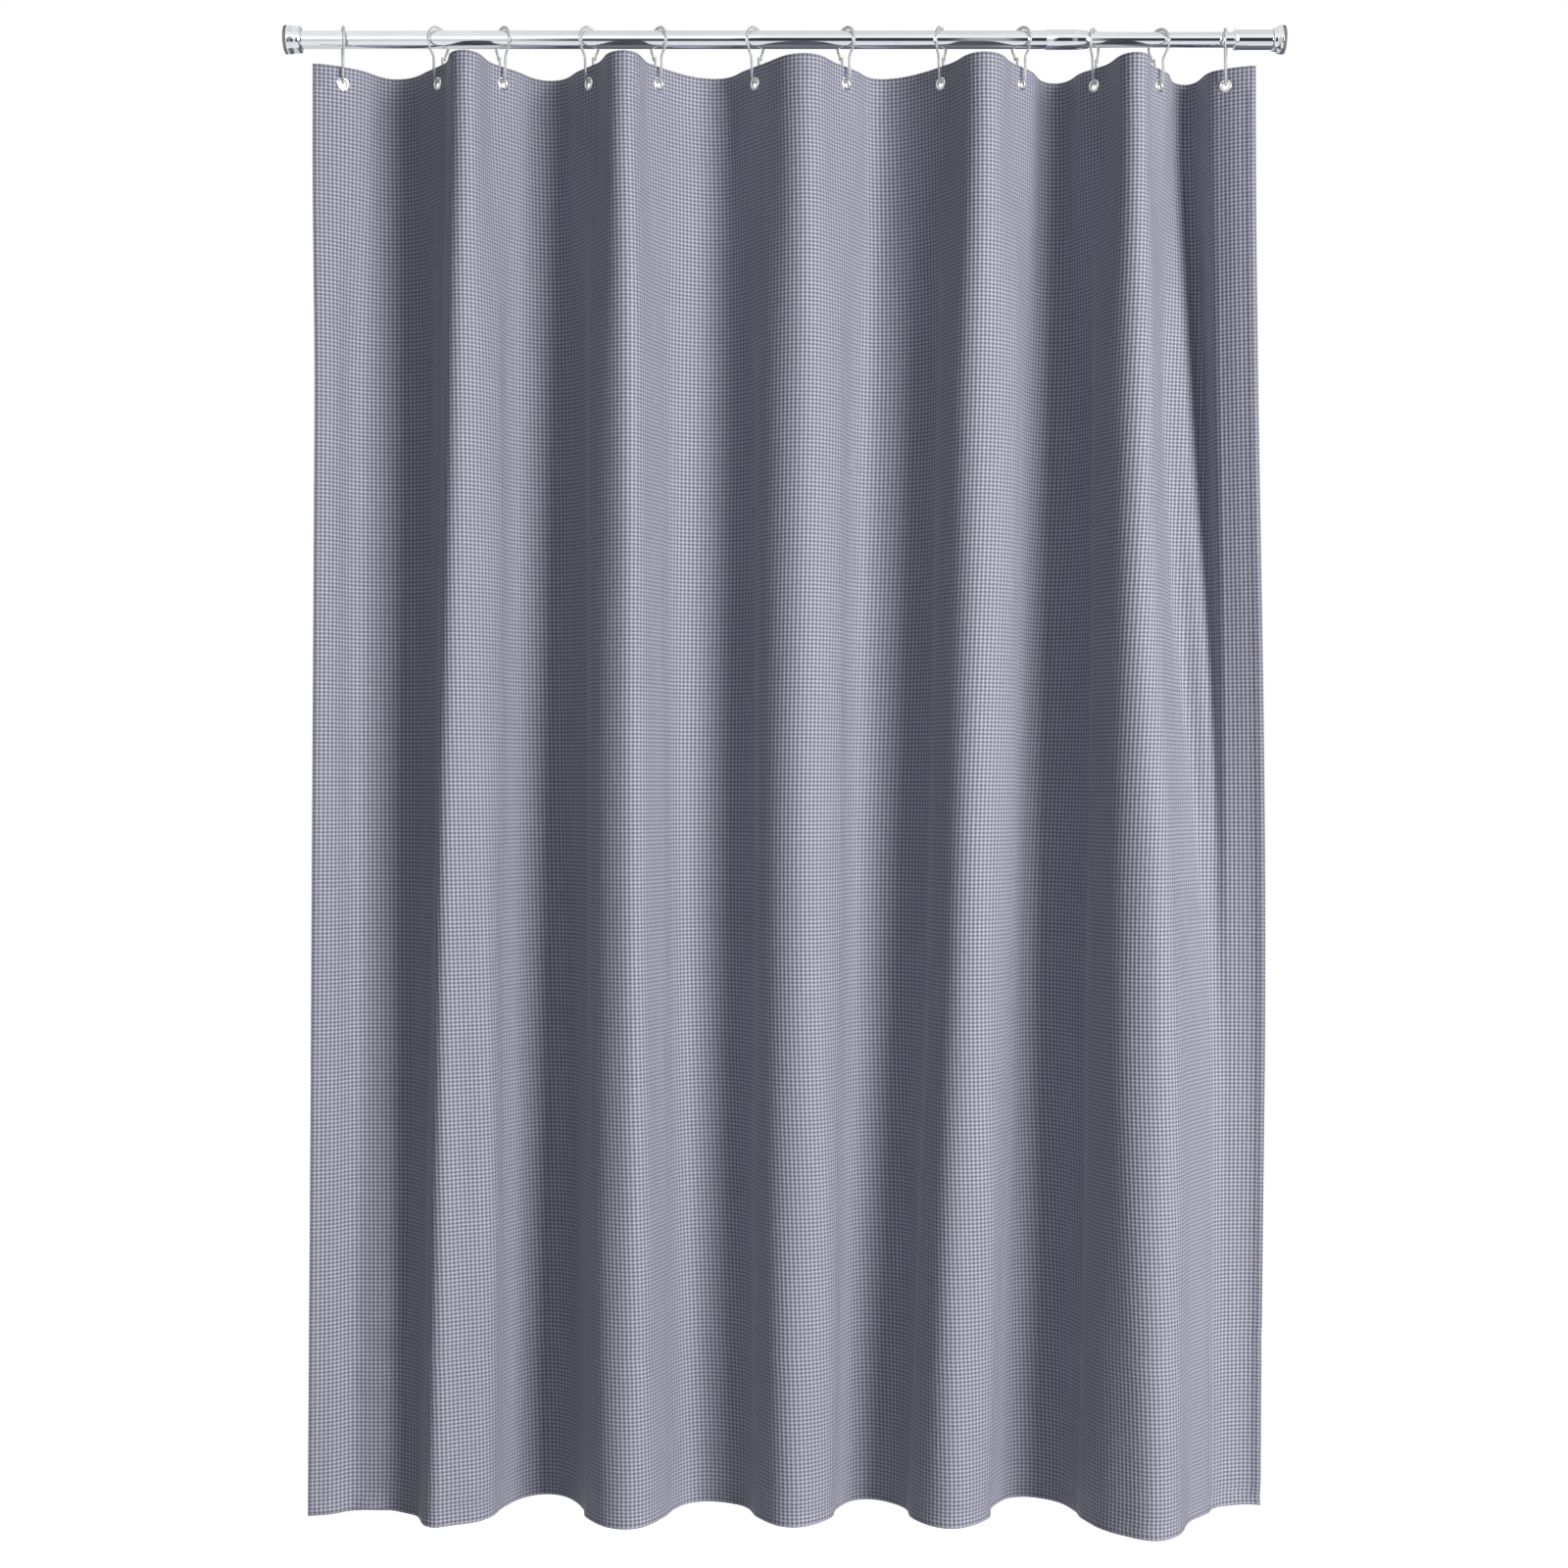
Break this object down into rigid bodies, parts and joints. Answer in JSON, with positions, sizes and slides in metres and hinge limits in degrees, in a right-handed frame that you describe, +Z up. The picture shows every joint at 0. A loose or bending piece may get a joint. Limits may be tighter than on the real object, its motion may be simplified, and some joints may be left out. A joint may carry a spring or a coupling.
{
  "type": "shower curtain on a tension rod",
  "caption": "Waffle-weave shower curtain hanging in deep folds from snap rings through grommets, on a telescoping chrome tension rod with rubber wall pads.",
  "frame": {"origin": "centre of the left wall pad's outer face, on the rod's axis", "axes": "+X along the rod to the right, +Z up, and the room side of the curtain faces -Y"},
  "size_m": [1.264, 0.1652, 1.8837],
  "materials": {
    "chrome": "polished chrome plate",
    "grey_rubber": "matt grey rubber",
    "lock_plastic": "off-white moulded plastic, inside the rod",
    "steel": "plain steel, inside the rod",
    "waffle_cloth": "blue-grey waffle weave",
    "clear_plastic": "clear moulded plastic",
    "grommet_nickel": "bright nickel plate"
  },
  "bodies": {
    "rod": {"outer_tube": "chrome", "collar": "chrome", "left_cap": "chrome", "left_wall_pad": "grey_rubber"},
    "lock_collet": {"lock_collet": "lock_plastic"},
    "lock_cone": {"lock_cone": "steel"},
    "small_tube": {"inner_tube": "chrome", "inner_tube_plug": "lock_plastic", "lock_screw": "steel", "right_sleeve": "chrome", "right_cap": "chrome", "right_wall_pad": "grey_rubber"},
    "curtain": {"curtain_panel": "waffle_cloth", "ring_12": "clear_plastic", "grommet_12": "grommet_nickel", "grommet_washer_12": "grommet_nickel"},
    "ring_01": {"ring_01": "clear_plastic", "grommet_01": "grommet_nickel", "grommet_washer_01": "grommet_nickel"},
    "ring_02": {"ring_02": "clear_plastic", "grommet_02": "grommet_nickel", "grommet_washer_02": "grommet_nickel"},
    "ring_03": {"ring_03": "clear_plastic", "grommet_03": "grommet_nickel", "grommet_washer_03": "grommet_nickel"},
    "ring_04": {"ring_04": "clear_plastic", "grommet_04": "grommet_nickel", "grommet_washer_04": "grommet_nickel"},
    "ring_05": {"ring_05": "clear_plastic", "grommet_05": "grommet_nickel", "grommet_washer_05": "grommet_nickel"},
    "ring_06": {"ring_06": "clear_plastic", "grommet_06": "grommet_nickel", "grommet_washer_06": "grommet_nickel"},
    "ring_07": {"ring_07": "clear_plastic", "grommet_07": "grommet_nickel", "grommet_washer_07": "grommet_nickel"},
    "ring_08": {"ring_08": "clear_plastic", "grommet_08": "grommet_nickel", "grommet_washer_08": "grommet_nickel"},
    "ring_09": {"ring_09": "clear_plastic", "grommet_09": "grommet_nickel", "grommet_washer_09": "grommet_nickel"},
    "ring_10": {"ring_10": "clear_plastic", "grommet_10": "grommet_nickel", "grommet_washer_10": "grommet_nickel"},
    "ring_11": {"ring_11": "clear_plastic", "grommet_11": "grommet_nickel", "grommet_washer_11": "grommet_nickel"}
  },
  "joints": [
    {"name": "length_adjust", "type": "slide", "parent": "rod", "child": "lock_collet", "axis": [1, 0, 0], "range_m": [0, 0.5]},
    {"name": "lock_twist", "type": "hinge", "parent": "lock_collet", "child": "small_tube", "pos_m": [0.35, 0, 0], "axis": [1, 0, 0], "range_deg": [0, 720]},
    {"name": "cone_draw", "type": "slide", "parent": "lock_collet", "child": "lock_cone", "axis": [1, 0, 0], "range_m": [0, 0.0026]},
    {"name": "curtain_swing", "type": "hinge", "parent": "rod", "child": "curtain", "pos_m": [0, 0, 0], "axis": [1, 0, 0], "range_deg": [-20, 20]},
    {"name": "curtain_draw", "type": "slide", "parent": "curtain", "child": "ring_01", "axis": [1, 0, 0], "range_m": [0, 0.67032], "deforming": ["curtain_panel"]},
    {"name": "ring_02_slide", "type": "slide", "parent": "curtain", "child": "ring_02", "axis": [1, 0, 0], "range_m": [0, 0.59821]},
    {"name": "ring_03_slide", "type": "slide", "parent": "curtain", "child": "ring_03", "axis": [1, 0, 0], "range_m": [0, 0.5496]},
    {"name": "ring_04_slide", "type": "slide", "parent": "curtain", "child": "ring_04", "axis": [1, 0, 0], "range_m": [0, 0.48359]},
    {"name": "ring_05_slide", "type": "slide", "parent": "curtain", "child": "ring_05", "axis": [1, 0, 0], "range_m": [0, 0.43138]},
    {"name": "ring_06_slide", "type": "slide", "parent": "curtain", "child": "ring_06", "axis": [1, 0, 0], "range_m": [0, 0.35756]},
    {"name": "ring_07_slide", "type": "slide", "parent": "curtain", "child": "ring_07", "axis": [1, 0, 0], "range_m": [0, 0.28915]},
    {"name": "ring_08_slide", "type": "slide", "parent": "curtain", "child": "ring_08", "axis": [1, 0, 0], "range_m": [0, 0.21654]},
    {"name": "ring_09_slide", "type": "slide", "parent": "curtain", "child": "ring_09", "axis": [1, 0, 0], "range_m": [0, 0.15593]},
    {"name": "ring_10_slide", "type": "slide", "parent": "curtain", "child": "ring_10", "axis": [1, 0, 0], "range_m": [0, 0.10012]},
    {"name": "ring_11_slide", "type": "slide", "parent": "curtain", "child": "ring_11", "axis": [1, 0, 0], "range_m": [0, 0.05151]}
  ],
  "couplings": [
    {"joint": "cone_draw", "follows": "lock_twist", "m_per_rad": 0.00019894},
    {"joint": "ring_02_slide", "follows": "curtain_draw", "ratio": 0.89167},
    {"joint": "ring_03_slide", "follows": "curtain_draw", "ratio": 0.81916},
    {"joint": "ring_04_slide", "follows": "curtain_draw", "ratio": 0.72068},
    {"joint": "ring_05_slide", "follows": "curtain_draw", "ratio": 0.64279},
    {"joint": "ring_06_slide", "follows": "curtain_draw", "ratio": 0.53268},
    {"joint": "ring_07_slide", "follows": "curtain_draw", "ratio": 0.43062},
    {"joint": "ring_08_slide", "follows": "curtain_draw", "ratio": 0.32229},
    {"joint": "ring_09_slide", "follows": "curtain_draw", "ratio": 0.23187},
    {"joint": "ring_10_slide", "follows": "curtain_draw", "ratio": 0.14861},
    {"joint": "ring_11_slide", "follows": "curtain_draw", "ratio": 0.076097}
  ]
}
